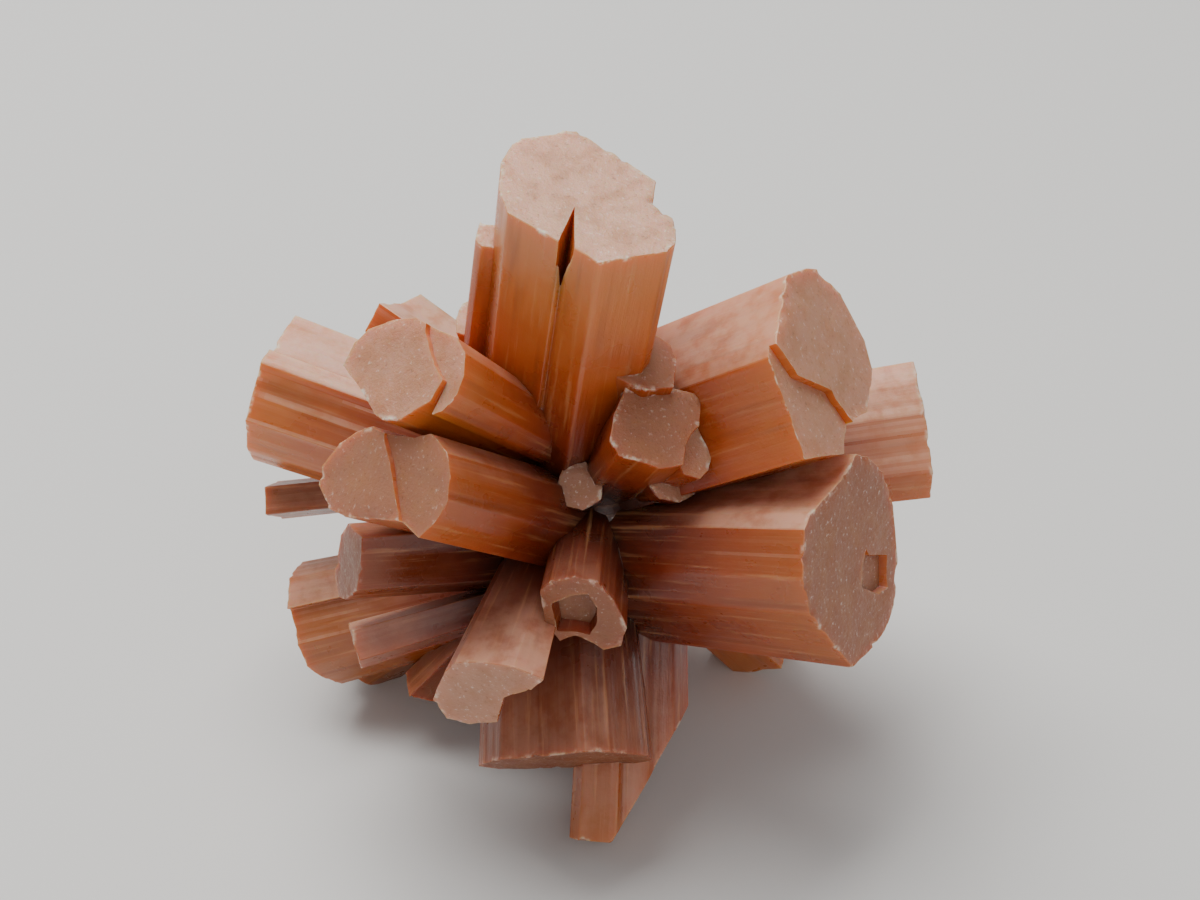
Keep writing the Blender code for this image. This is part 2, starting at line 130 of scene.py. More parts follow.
CRYSTALS = [
    Crystal("top", (-0.2, -3.9, 23.2), -55.7, 77.4, 23.0, 0.92, (0, 0), [
        (238, 4.7), (210, 5.2), (192, 5.7), (184, 5.8), (164, 5.5), (159, 5.8), (151, 5.7),
        (120, 4.3), (83, 4.4), (56, 3.7), (44, 4.9), (36, 5.3), (24, 5.8), (15, 5.9), (0, 5.3),
        (335, 5.3), (316, 4.2), (312, 3.9), (309, 4.2), (261, 4.6)]),
    Crystal("top slab", (-5.4, -2.7, 20.1), -55.7, 77.4, 12.5, 1.0, (0, 0), [
        (179, 1.3), (169, 1.0), (124, 1.1), (60, 1.6), (11, 1.2), (318, 1.0), (297, 1.1),
        (264, 1.0)]),
    Crystal("top sliver", (-7.1, -0.3, 13.2), -35, 80.6, 13.0, 1.0, (4.5, 3.0), [
        (210, 0.7), (140, 1.4), (126, 1.7), (80, 2.0), (20, 1.8), (344, 1.3), (310, 1.6),
        (284, 1.5)]),
    Crystal("upper right", (13.4, -4.1, 12.7), -22.3, 33.2, 18.6, 0.92, (0, 0), [
        (167, 5.4), (143, 5.6), (132, 5.8), (107, 5.5), (73, 5.2), (53, 5.1), (30, 4.6), (15, 4.4),
        (352, 3.7), (335, 4.6), (332, 5.3), (306, 5.8), (292, 6.8), (271, 5.2), (234, 5.2),
        (220, 4.8)]),
    Crystal("right", (14.9, -9.7, 2.7), -29.4, 14.1, 17.8, 0.84, (0.8, -0.5), [
        (151, 6.2), (137, 6.2), (114, 6.3), (91, 6.1), (59, 6.4), (38, 6.9), (22, 6.9), (6, 6.4),
        (341, 6.3), (310, 4.8), (273, 5.2), (248, 5.8), (221, 6.3), (212, 6.1), (188, 5.1),
        (165, 5.2)]),
    Crystal("far right", (20.3, 3.9, 2.4), 8.7, 3.6, 20.0, 0.85, (0, 0), [
        (160, 4.5), (178, 3.6), (211, 2.7), (283, 3.5), (316, 4.2), (8, 4.4), (84, 4.4)]),
    Crystal("left", (-20.3, 7.1, 3.5), 160.7, 9.4, 21.0, 0.85, (0, 0), [
        (278, 6.0), (338, 6.2), (11, 5.2), (35, 3.9), (76, 2.9), (151, 2.6), (157, 3.0), (181, 3.0),
        (185, 2.7), (202, 3.1), (207, 3.3), (228, 5.0)]),
    Crystal("upper left", (-10.3, -7.2, 14.3), -144, 43.1, 18.9, 0.62, (0, 0), [
        (296, 4.7), (278, 4.5), (263, 4.1), (238, 3.3), (207, 3.0), (184, 2.8), (164, 3.1),
        (149, 3.7), (132, 4.2), (114, 4.4), (100, 4.4), (83, 4.1), (74, 3.7), (106, 3.3), (83, 3.3),
        (57, 3.0), (43, 3.1), (18, 3.1), (2, 3.0), (327, 3.0)]),
    Crystal("lower left", (-11.4, -10.4, 9.0), -138.3, 32.1, 17.9, 0.95, (1.3, 0.6), [
        (299, 5.1), (287, 5.0), (266, 4.2), (240, 3.5), (226, 3.2), (210, 2.6), (168, 3.0),
        (155, 4.1), (135, 4.7), (119, 4.8), (103, 4.8), (87, 4.5), (66, 4.1), (58, 2.7), (26, 2.2),
        (333, 3.5), (317, 4.5)]),
    Crystal("left dark", (-20.4, 6.6, -4.8), 164.8, -17.1, 15.0, 0.9, (0, 0), [
        (357, 1.6), (85, 1.5), (164, 1.3), (245, 1.4)]),
    Crystal("left under", (-14.2, -6.7, 0.1), -161, 9.5, 15.4, 1.0, (0, 0), [
        (248, 2.2), (200, 2.6), (151, 3.8), (132, 3.0), (86, 2.2), (6, 2.3), (342, 3.1),
        (315, 3.2)]),
    Crystal("foot left", (-18.0, 2.6, -11.3), 166.9, -24.5, 21.0, 0.75, (0, 0), [
        (275, 4.4), (333, 5.0), (10, 5.0), (36, 3.9), (63, 3.5), (89, 2.8), (141, 2.4), (140, 2.8),
        (180, 3.3), (218, 3.7)]),
    Crystal("left small", (-14.2, -6.4, -6.2), -165.7, -9.5, 12.0, 0.8, (0, 0), [
        (247, 1.6), (307, 2.0), (15, 1.6), (98, 1.8), (159, 1.9)]),
    Crystal("left low", (-10.5, -0.7, -14.2), -177.5, -50.9, 16.0, 0.7, (0, 0), [
        (254, 2.1), (319, 2.0), (33, 1.6), (101, 1.6), (123, 2.5), (181, 1.7)]),
    Crystal("front left", (-5.8, -14.4, -3.0), -105.6, -12.8, 15.7, 0.5, (0, 0), [
        (297, 3.9), (279, 3.1), (244, 2.7), (217, 2.8), (184, 2.7), (147, 3.4), (121, 4.1),
        (110, 2.9), (74, 1.0), (7, 2.8), (338, 3.8), (320, 4.4)]),
    Crystal("front crescent", (-0.4, -12.0, 0.7), -95.1, -4.7, 10.0, 0.8, (0, 0), [
        (235, 2.9), (217, 3.0), (188, 2.9), (159, 2.7), (124, 2.2), (71, 2.7), (44, 3.2), (24, 3.0),
        (13, 2.2), (345, 1.9), (330, 2.7), (290, 2.3)]),
    Crystal("front low", (-1.4, -12.0, -10.5), -87.4, -41, 15.9, 0.8, (0, 0), [
        (302, 4.8), (343, 3.1), (41, 4.1), (79, 5.3), (108, 5.1), (148, 4.7), (167, 4.6), (211, 3.3),
        (242, 4.4), (265, 5.0), (279, 5.3)]),
    Crystal("foot front", (1.0, -11.8, -16.8), -93.5, -55, 20.4, 0.8, (0, 0), [
        (329, 2.5), (56, 4.2), (81, 5.2), (101, 4.3), (137, 2.5), (152, 2.1), (163, 2.4),
        (219, 2.5), (248, 2.4)]),
    Crystal("foot back right", (11.0, 7.4, -16.2), 33.9, -50.7, 20.0, 0.7, (0, 0), [
        (208, 3.6), (252, 3.0), (281, 3.9), (338, 3.3), (20, 3.2), (70, 2.6), (74, 2.1), (79, 2.7),
        (115, 3.0), (160, 3.3)]),
    Crystal("foot back left", (-15.0, 5.6, -16.1), 157.5, -44.4, 21.0, 0.7, (0, 0), [
        (5, 3.1), (52, 2.9), (96, 3.0), (148, 2.7), (153, 2.2), (160, 2.8), (200, 3.3), (252, 3.2),
        (306, 3.0)]),
    Crystal("middle cap", (3.7, -7.7, 10.9), -64.2, 51.8, 13.9, 0.8, (0, 0), [
        (201, 2.6), (182, 2.7), (150, 2.4), (111, 3.1), (100, 3.2), (72, 2.6), (62, 2.2), (39, 2.1),
        (15, 2.8), (344, 2.6), (314, 2.5), (294, 3.0), (274, 2.9), (238, 2.4)]),
    Crystal("middle twin", (6.1, -7.6, 8.7), -51.3, 41.8, 13.0, 0.8, (0, 0), [
        (197, 2.3), (151, 1.7), (125, 1.0), (68, 1.0), (19, 1.1), (339, 1.4), (296, 1.5),
        (238, 1.6)]),
    Crystal("middle wedge", (4.7, -7.1, 6.2), -56.5, 35.9, 10.6, 0.8, (0, 0), [
        (210, 1.4), (145, 1.1), (87, 1.2), (54, 1.6), (7, 1.1), (296, 1.1), (251, 1.4)]),
    Crystal("middle lump", (3.4, -4.8, 13.3), -54.8, 65.9, 14.6, 0.8, (0, 0), [
        (136, 1.9), (102, 1.8), (62, 1.6), (6, 2.2), (319, 2.2), (276, 2.5), (241, 1.3),
        (172, 1.1)]),
    Crystal("middle small", (-0.5, -6.5, 5.7), -94.7, 41.0, 8.7, 0.9, (0, 0), [
        (273, 1.4), (224, 1.6), (172, 1.5), (114, 1.4), (60, 1.4), (8, 1.4), (320, 1.5)]),
    Crystal("middle stub", (-1.0, -3.4, 6.5), -106.9, 61.6, 7.4, 0.9, (0, 0), [
        (268, 1.2), (231, 1.2), (154, 1.2), (98, 1.2), (50, 1.3), (336, 1.1)]),
    Crystal("upper back left", (-13.2, 10.1, 6.9), 147.7, 17.8, 17.9, 0.75, (0, 0), [
        (75, 1.5), (160, 1.6), (278, 2.5), (281, 4.8), (312, 5.2), (2, 3.3)]),
    Crystal("back up", (-0.6, 15.0, 8.5), 94, 29, 17.0, 0.7, (0, 0),
            sides(4.1, 12, (1.0, 0.93, 1.05, 0.96, 1.04, 0.9), (1, 4))),
    Crystal("back", (0.3, 18.4, -3.1), 88, -9, 18.6, 0.65, (0, 0),
            sides(4.5, 40, (0.95, 1.04, 0.9, 1.06, 0.97, 1.02), (0, 2, 4))),
    Crystal("back right", (12.6, 12.5, -4.1), 44, -13, 18.0, 0.7, (0, 0),
            sides(4.0, 25, (1.05, 0.92, 1.0, 1.06, 0.9, 0.98), (2, 5))),
    Crystal("back left", (-10.5, 13.3, -3.8), 129, -13, 17.6, 0.7, (0, 0),
            sides(3.9, 5, (0.93, 1.05, 0.98, 1.0, 0.9, 1.06), (1, 3))),
    Crystal("back low", (-1.4, 10.2, -12.9), 98, -52, 16.4, 0.7, (0, 0),
            sides(3.6, 33, (1.0, 1.05, 0.9, 1.04, 0.93, 1.0), (0, 3))),
    Crystal("back short", (6.4, 7.1, 5.5), 48, 30, 11.0, 0.8, (0, 0),
            sides(3.0, 20, (1.0, 0.9, 1.05, 0.95, 1.03, 0.92), (4,))),
    Crystal("back thin", (6.3, 14.1, 1.6), 66, 6, 15.4, 0.8, (0, 0),
            sides(1.9, 14, (1.0, 0.86, 1.08, 0.9, 1.02, 0.95))),
    Crystal("back slant", (7.4, 10.1, -10.0), 54, -39, 15.8, 0.75, (0, 0),
            sides(2.2, 47, (0.92, 1.06, 0.95, 1.0, 0.88, 1.05), (2,))),
    Crystal("back edge", (-13.4, 8.9, 0.4), 146, 1, 16.0, 0.8, (0, 0),
            sides(1.8, 30, (1.0, 0.9, 1.1, 0.88, 1.0, 0.94))),
    Crystal("back splinter", (-6.9, 11.6, -9.8), 121, -36, 16.4, 0.8, (0, 0),
            sides(2.0, 18, (1.05, 0.9, 1.0, 0.94, 1.08, 0.9), (5,))),
    Crystal("back upright", (-1.6, 8.6, 9.6), 101, 48, 12.6, 0.8, (0, 0),
            sides(2.3, 52, (0.96, 1.06, 0.9, 1.02, 0.94, 1.0), (3,))),
    Crystal("right back edge", (14.8, 7.0, -6.2), 25, -21, 17.0, 0.75, (0, 0),
            sides(2.3, 9, (1.0, 0.92, 1.06, 0.9, 1.04, 0.96), (1,))),
    Crystal("under", (1.5, 0.6, -12.9), 10, -84, 13.0, 0.8, (0, 0),
            sides(3.2, 8, (1.03, 0.94, 1.0, 0.92, 1.06, 0.98), (1, 4))),
    Crystal("under left", (-7.6, 1.6, -11.6), 168, -56, 13.6, 0.8, (0, 0),
            sides(2.2, 40, (0.95, 1.04, 0.9, 1.06, 0.97, 1.02))),
    Crystal("under right", (6.7, -2.2, -6.8), -18, -44, 9.8, 0.9, (0, 0),
            sides(3.0, 28, (0.95, 1.05, 0.92, 1.02, 0.98, 1.04))),
]
print(len(CRYSTALS), "crystals")

# %% [markdown]
# ## Ends that aren't flat
#
# Some end faces have a step, a cleft, a chip or a hollow, and the lowest crystal has a slanted end. The
# slant is a formula on the end face. The others are cut out with a second prism on the same axis.

# %% Steps, clefts and hollows
Hollow = namedtuple("Hollow", "name crystal depth shrink corners")
HOLLOWS = [
    Hollow("cleft", "top", 6.5, 0.15, [(320, 4.6), (279, 0.7), (306, 4.6)]),
    Hollow("upper right step", "upper right", 0.5, 1.0, [
        (353, 5.0), (341, 2.7), (332, 2.2), (324, 1.7), (275, 2.1), (251, 3.5), (229, 4.6),
        (215, 6.5), (250, 8.0), (300, 9.0), (340, 8.0)]),
    Hollow("twin step", "upper left", 0.4, 1.0, [
        (106, 3.3), (122, 2.3), (180, 2.3), (200, 4.5), (160, 6.0), (120, 6.5), (80, 6.0),
        (73, 3.4)]),
    Hollow("lobe step", "lower left", 0.3, 1.0, [
        (212, 5.0), (212, 2.5), (182, 1.1), (58, 2.6), (56, 5.5), (90, 7.0), (130, 7.0),
        (180, 6.0)]),
    Hollow("right chip", "right", 0.5, 0.8, [
        (89, 1.9), (72, 2.3), (64, 5.2), (41, 5.9), (32, 4.9), (13, 2.3), (51, 1.5)]),
    Hollow("crescent hollow", "front crescent", 0.9, 0.8, [
        (246, 2.1), (203, 1.8), (167, 1.9), (124, 1.2), (51, 1.2), (15, 1.9), (345, 1.7),
        (314, 2.2)]),
    Hollow("back step", "back", 0.5, 1.0, [
        (20, 6.0), (28, 2.0), (92, 0.6), (170, 2.6), (182, 6.0), (140, 7.0), (100, 7.5), (60, 7.0)]),
    Hollow("back right step", "back right", 0.4, 1.0, [
        (205, 6.0), (212, 1.9), (262, 1.2), (312, 3.1), (318, 6.0), (290, 7.0), (240, 7.0)]),
    Hollow("back left step", "back left", 0.45, 1.0, [
        (330, 6.0), (340, 1.5), (25, 0.9), (80, 2.4), (88, 6.0), (60, 7.0), (5, 7.0)]),
    Hollow("back up step", "back up", 0.4, 1.0, [
        (150, 6.0), (158, 2.2), (205, 1.1), (250, 2.8), (255, 6.0), (225, 7.0), (180, 7.0)]),
]
# Side the slant falls to, where it starts in mm, angle of its normal from the end face in degrees
SLANTS = {"foot front": (90, 0.4, 30)}
print(len(HOLLOWS), "steps and hollows")

# %% [markdown]
# ## Random heights
#
# Grown faces are never quite flat. Two kinds of random height are enough. Strips run along a crystal
# and give its sides their fine ledges. A soft grid gives the end faces their bumps. Both start from a
# seed, so the stone is the same each time.

# %% Strips and soft grids
LATTICE = 64


def soft_grid(x, y, cell, seed):
    """Random heights from -1 to 1 on a square grid, one every cell, with smooth blends in between."""
    table = np.random.default_rng(seed).uniform(-1, 1, (LATTICE, LATTICE))
    column, row = np.floor(x / cell).astype(int), np.floor(y / cell).astype(int)
    a, b = x / cell - column, y / cell - row
    a, b = a * a * (3 - 2 * a), b * b * (3 - 2 * b)
    near = table[column % LATTICE, row % LATTICE] * (1 - a)
    near = near + table[(column + 1) % LATTICE, row % LATTICE] * a
    far = table[column % LATTICE, (row + 1) % LATTICE] * (1 - a)
    far = far + table[(column + 1) % LATTICE, (row + 1) % LATTICE] * a
    return near * (1 - b) + far * b


def strips(around, total, below, width, reach, blend, seed):
    """Random heights from -1 to 1 in strips along the crystal.

    around is the distance along the outline, total its whole length and below the depth, all in mm.
    A strip keeps one height down to its own random depth and takes another below it. Next to its
    neighbour it blends over the given share of its width.
    """
    rng = np.random.default_rng(seed)
    count = max(4, int(round(total / width)))
    upper, lower = rng.uniform(-1, 1, count), rng.uniform(-1, 1, count)
    turn = rng.uniform(0.0, reach, count)
    place = around / total * count
    cell = np.floor(place).astype(int)
    share = np.clip((place - cell - (1 - blend)) / blend, 0, 1)

    def held(index):
        drop = np.clip((below - turn[index % count]) / 0.5, 0, 1)
        return upper[index % count] * (1 - drop) + lower[index % count] * drop

    return held(cell) * (1 - share) + held(cell + 1) * share


print("a soft grid at three places:", soft_grid(np.arange(3.0), np.zeros(3), 0.7, 1).round(2))

# %% [markdown]
# ## One crystal
#
# A prism could be a cylinder primitive with six sides, but then every crystal would look machined. Here
# the outline is a profile that is carried down the axis. It narrows a little, and the strips push it in
# and out. The end face is a net of triangles inside the same outline, lifted by the soft grids. The two
# share the points of the rim, so the mesh is closed.

# %% Outline
CHAMFER = 0.05          # mm, width of the worn corner edges


def outline(corners, spacing):
    """Points along straight sides between the corners, their outward directions and their distance.

    Each side is cut into equal steps no longer than the spacing. It stops a chamfer short of its
    corners, so that an edge is a narrow face and not a knife.
    """
    angles = np.radians([corner[0] for corner in corners])
    radii = np.array([corner[1] for corner in corners])
    ring = np.stack([radii * np.cos(angles), radii * np.sin(angles)], 1)
    nxt = np.roll(ring, -1, 0)
    if np.sum(ring[:, 0] * nxt[:, 1] - nxt[:, 0] * ring[:, 1]) < 0:
        ring = ring[::-1]
        nxt = np.roll(ring, -1, 0)
    lengths = np.linalg.norm(nxt - ring, axis=1)
    cut = np.minimum(CHAMFER, 0.2 * lengths)
    steps = np.maximum(1, np.ceil(lengths / spacing)).astype(int)
    side = np.repeat(np.arange(len(ring)), steps + 1)
    first = np.cumsum(steps + 1) - (steps + 1)
    along = (np.arange(len(side)) - first[side]) / steps[side]
    place = cut[side] + along * (lengths - 2 * cut)[side]
    forward = (nxt - ring) / lengths[:, None]
    points = ring[side] + place[:, None] * forward[side]
    outward = np.stack([forward[side][:, 1], -forward[side][:, 0]], 1)
    start = np.cumsum(lengths) - lengths
    to_corner = np.minimum(place, lengths[side] - place)
    return points, outward, start[side] + place, lengths.sum(), to_corner


def room(points, around, total, to_corner):
    """Room on the outline: share from 0 to 1 of the full ledge height, and width in mm.

    The share falls to 0 at the corners, and in narrow grooves and wedges, where another part of the
    outline is near although it is far away along the outline. The width is the distance to that part.
    """
    gap = np.linalg.norm(points[:, None] - points[None], axis=-1)
    along = np.abs(around[:, None] - around[None])
    along = np.minimum(along, total - along)
    width = np.where(along > 1.8 * gap, gap, np.inf).min(1)
    share = np.minimum(np.clip(to_corner / 0.3, 0, 1), np.clip(width / 0.9, 0, 1) * 0.8)
    return share, width


trial = outline(CRYSTALS[0].corners, 0.2)
print("points round the top crystal:", len(trial[0]))

# %% Net of triangles inside an outline
def distance_to(points, ring):
    """Distance of each point to the closed ring of straight pieces, in whole arrays."""
    a, b = ring[None, :, :], np.roll(ring, -1, 0)[None, :, :]
    p = points[:, None, :]
    share = np.sum((p - a) * (b - a), -1) / np.maximum(np.sum((b - a) ** 2, -1), 1e-12)
    foot = a + np.clip(share, 0, 1)[..., None] * (b - a)
    gaps = np.linalg.norm(p - foot, axis=-1)
    return gaps.min(1), gaps.argmin(1)


def inside(points, ring):
    """True where a point lies in the ring, by counting the sides to its right."""
    a, b = ring[None, :, :], np.roll(ring, -1, 0)[None, :, :]
    x, y = points[:, None, 0], points[:, None, 1]
    spans = (a[..., 1] > y) != (b[..., 1] > y)
    rise = np.where(b[..., 1] == a[..., 1], 1e-12, b[..., 1] - a[..., 1])
    cross = a[..., 0] + (y - a[..., 1]) / rise * (b[..., 0] - a[..., 0])
    return (np.sum(spans & (x < cross), 1) % 2) == 1


def net(ring, spacing, seed):
    """Triangles that fill the ring, with inner points on a shaken triangular grid."""
    rng = np.random.default_rng(seed)
    low, high = ring.min(0), ring.max(0)
    rows = np.arange(low[1], high[1], spacing * 0.866)
    columns = np.arange(low[0], high[0], spacing)
    x, y = np.meshgrid(columns, rows)
    x = x + (np.arange(len(rows)) % 2)[:, None] * spacing / 2
    grid = np.stack([x.ravel(), y.ravel()], 1)
    grid = grid + rng.uniform(-0.22, 0.22, grid.shape) * spacing
    grid = grid[inside(grid, ring)]
    gap = distance_to(grid, ring)[0]
    grid, gap = grid[gap > 0.45 * spacing], gap[gap > 0.45 * spacing]
    every = np.vstack([ring, grid])
    points, _, faces, origin, _, _ = delaunay_2d_cdt(
        [Vector(point) for point in every.tolist()], [], [list(range(len(ring)))], 1, 1e-7)
    assert len(points) == len(every), f"outline {seed} crosses itself"
    source = np.array([first[0] for first in origin])
    triangles = source[np.array([list(face) for face in faces])]
    return every, triangles, np.r_[np.zeros(len(ring)), gap]


trial_net = net(trial[0], 0.3, 1)
print("triangles on the top crystal's end face:", len(trial_net[1]))

# %% [markdown]
# ## Looks of the crystals
#
# The crystals differ in colour. The upper ones are amber, with pale pink frosting on their ends, and the
# lower ones have rusty ends; the lower ones also stand in shade, and that shade is painted into them.
# Three numbers say this for each crystal: its lightness, below 1 where shade is painted on its sides and
# end, how rusty its end is, and how much frost it has, which also scales a painted sheen and painted glints.
# A fourth is the height of its ledges in mm.

# %% Look values
Look = namedtuple("Look", "bright rust frost ledge")
PLAIN = Look(0.62, 0.55, 0.6, 0.05)
LOOKS = {
    "top": Look(1.0, 0.0, 0.9, 0.035),
    "top slab": Look(0.95, 0.1, 1.0, 0.03),
    "top sliver": Look(0.9, 0.1, 1.0, 0.03),
    "upper right": Look(1.0, 0.42, 0.75, 0.03),
    "right": Look(0.8, 0.85, 0.75, 0.04),
    "far right": Look(0.85, 0.3, 1.0, 0.07),
    "left": Look(1.0, 0.2, 1.0, 0.10),
    "upper left": Look(0.95, 0.4, 0.6, 0.04),
    "lower left": Look(0.8, 0.65, 0.5, 0.04),
    "left dark": Look(0.35, 0.9, 0.3, 0.05),
    "left under": Look(0.42, 0.8, 0.3, 0.09),
    "foot left": Look(0.6, 0.6, 0.6, 0.09),
    "left small": Look(0.6, 0.5, 0.6, 0.05),
    "left low": Look(0.4, 0.8, 0.3, 0.06),
    "front left": Look(0.75, 0.35, 0.8, 0.04),
    "front crescent": Look(0.6, 0.8, 0.4, 0.04),
    "front low": Look(0.45, 1.0, 0.35, 0.09),
    "foot front": Look(0.7, 0.6, 0.7, 0.08),
    "foot back right": Look(0.8, 0.3, 0.9, 0.06),
    "foot back left": Look(0.4, 0.8, 0.4, 0.06),
    "middle cap": Look(0.85, 0.75, 0.6, 0.03),
    "middle twin": Look(0.9, 0.5, 0.8, 0.03),
    "middle lump": Look(0.8, 0.7, 0.5, 0.03),
    # Its high frost value paints a pale glow from the light behind it, as well as its frost.
    "upper back left": Look(1.0, 0.0, 1.2, 0.05),
}
print(len(LOOKS), "crystals with values of their own, the rest share", PLAIN)

# %% [markdown]
# ## Side wall and end face of one crystal
#
# The wall is a grid: along one way it runs round the outline, along the other down the axis. The rows
# are close together near the rim, where the edge is chipped, and further apart below it.

# %% Wall and end face
ROUND_STEP = 0.22       # mm between points round the outline
FACE_STEP = 0.30        # mm between points on an end face
ROW_STEP = 0.85         # mm between rows far from the rim
WORN = 0.045            # mm that the rim is worn off
CHIP = 0.20             # mm, depth of the deepest chips on the rim
CLEARANCE = 1.0         # mm that a cutting prism stands above the end face


def end_height(x, y, gap, seed):
    """Height of an end face in mm: wide swells, low terraces and small pits, all fading at the rim."""
    swell = 0.06 * soft_grid(x, y, 2.1, seed) + 0.03 * soft_grid(x, y, 0.8, seed + 1)
    terrace = 0.045 * np.clip(5 * soft_grid(x, y, 2.6, seed + 2), -1, 1)
    pits = -0.07 * np.clip(soft_grid(x, y, 0.55, seed + 3) - 0.45, 0, 1)
    return (swell + terrace + pits) * np.clip(gap / 0.5, 0, 1)


def slant_drop(x, y, name):
    """Depth in mm that a slanted end lies below the flat one: a straight fall past a line."""
    if name not in SLANTS:
        return np.zeros_like(x)
    toward, start, angle = SLANTS[name]
    ahead = x * math.cos(math.radians(toward)) + y * math.sin(math.radians(toward)) - start
    return np.maximum(ahead, 0) / math.tan(math.radians(angle))


def placed(x, y, height, crystal, middle, shrink):
    """Carries outline points to a height: narrower inwards, shifted by the lean, in mm in the scene."""
    share = -height / crystal.length
    width = 1 + (crystal.taper - 1) * share
    x = ((x - middle[0]) * shrink + middle[0]) * width + crystal.lean[0] * share
    y = ((y - middle[1]) * shrink + middle[1]) * width + crystal.lean[1] * share
    turn, slope = math.radians(crystal.azimuth), math.radians(90 - crystal.elevation)
    ct, st, cs, ss = math.cos(turn), math.sin(turn), math.cos(slope), math.sin(slope)
    local = np.stack([x, y, height], -1)
    axes = np.array([[cs * ct, cs * st, -ss], [-st, ct, 0], [ss * ct, ss * st, cs]])
    return CORE + np.array(crystal.tip) + local @ axes


# %% One closed body
def body(name, crystal, corners, near, far, shrink, look, seed):
    """Closed mesh from the worked face at height near to the plain face at height far.

    Every wall point is an outline point pushed along its outward direction by the strips, at a depth
    that grows row by row. The worked face is the net, lifted by the end height.
    """
    points, outward, around, total, to_corner = outline(corners, ROUND_STEP)
    space, width = room(points, around, total, to_corner)
    cutting = far > near
    worn = np.minimum(WORN * np.minimum(space + 0.3, 1), 0.25 * width) * (not cutting)
    height = abs(far - near)
    rows = np.r_[0, 0.05, 0.16, 0.4, 0.8]
    rows = np.r_[rows[rows < 0.8 * height], np.arange(1.4, height - 0.3, ROW_STEP), height]
    depth, s = np.meshgrid(rows, around, indexing="ij")
    ledge = strips(s, total, depth, 0.9, 0.8 * height, 0.3, seed)
    ledge = 0.65 * ledge + 0.35 * strips(s, total, depth, 0.4, 0.6 * height, 0.5, seed + 7)
    push = np.clip(look.ledge * ledge * space, -0.2 * width, 0.2 * width) - worn * (depth == 0)
    x = points[:, 0] + push * outward[:, 0]
    y = points[:, 1] + push * outward[:, 1]
    chip = np.clip(soft_grid(around, np.full_like(around, 0.5), 0.6, seed + 3) - 0.35, 0, 1)
    chip = chip * 0 if cutting else CHIP * chip / 0.65
    drop = slant_drop(x[0], y[0], name) + chip
    down = drop + depth * (1 - drop / height)

    face, triangles, gap = net(np.stack([x[0], y[0]], -1), FACE_STEP, seed)
    inner = face[len(points):]
    inner_gap = gap[len(points):]
    near_rim = np.linalg.norm(inner[:, None] - points[None], axis=-1).argmin(1)
    lift = end_height(inner[:, 0], inner[:, 1], inner_gap, seed)
    lift -= slant_drop(inner[:, 0], inner[:, 1], name) + chip[near_rim] * np.exp(-inner_gap / 0.35)

    way = 1 if cutting else -1
    wall_height = near + way * down
    face_height = near - way * lift
    middle = np.mean([[r * math.cos(math.radians(a)), r * math.sin(math.radians(a))]
                      for a, r in corners], 0)
    all_x, all_y = np.r_[x.ravel(), inner[:, 0]], np.r_[y.ravel(), inner[:, 1]]
    all_height = np.r_[wall_height.ravel(), face_height]
    narrow = 1 + (shrink - 1) * (far - all_height) / (far - near) if cutting else 1.0
    verts = placed(all_x, all_y, all_height, crystal, middle, narrow) * MM

    count, levels = len(points), len(rows)
    i, j = np.meshgrid(np.arange(levels - 1), np.arange(count), indexing="ij")
    k = (j + 1) % count
    quads = np.stack([i * count + j, (i + 1) * count + j, (i + 1) * count + k, i * count + k], -1)
    quads = quads.reshape(-1, 4)
    caps = np.where(triangles >= count, triangles + count * (levels - 1), triangles)
    root = [list(range((levels - 1) * count, levels * count))[::-1]]
    s_next = np.where(k == 0, total, around[k])
    wall_uv = np.stack([
        np.stack([around[j], around[j], s_next, s_next], -1),
        np.stack([rows[i], rows[i + 1], rows[i + 1], rows[i]], -1)], -1).reshape(-1, 4, 2)
    cap_uv = face[triangles]
    if cutting:
        quads, caps, root = quads[:, ::-1], caps[:, ::-1], [root[0][::-1]]
        wall_uv, cap_uv = wall_uv[:, ::-1], cap_uv[:, ::-1]

    mesh = bpy.data.meshes.new(name)
    mesh.from_pydata(verts.tolist(), [], quads.tolist() + caps.tolist() + root)
    uv = mesh.uv_layers.new(name="grain")
    flat = np.r_[wall_uv.reshape(-1, 2), cap_uv.reshape(-1, 2), np.zeros((count, 2))]
    uv.data.foreach_set("uv", flat.astype(np.float32).ravel())
    kind = np.r_[np.zeros(len(quads)), np.ones(len(caps)), 0]
    to_rim = np.r_[(down - drop).ravel(), inner_gap] + (9 if cutting else 0)
    add_values(mesh, kind, to_rim, look)
    return bpy.data.objects.new(name, mesh)


def add_values(mesh, kind, to_rim, look):
    """Stores what the material needs: wall or end face, distance to the rim, and the look values."""
    mesh.attributes.new("cap", "FLOAT", "FACE").data.foreach_set("value", kind.astype(np.float32))
    mesh.attributes.new("rim", "FLOAT", "POINT").data.foreach_set("value", to_rim.astype(np.float32))
    values = np.tile(np.array(look[:3], np.float32), (len(mesh.polygons), 1))
    mesh.attributes.new("look", "FLOAT_VECTOR", "FACE").data.foreach_set("vector", values.ravel())


# %% [markdown]
# ## The lump in the middle
#
# All crystals start in a small lump. It is a ball whose radius swells and sinks with a few slow waves.

# %% Lump
LUMP_RADIUS = 6.7
LUMP_BUMP = 0.05


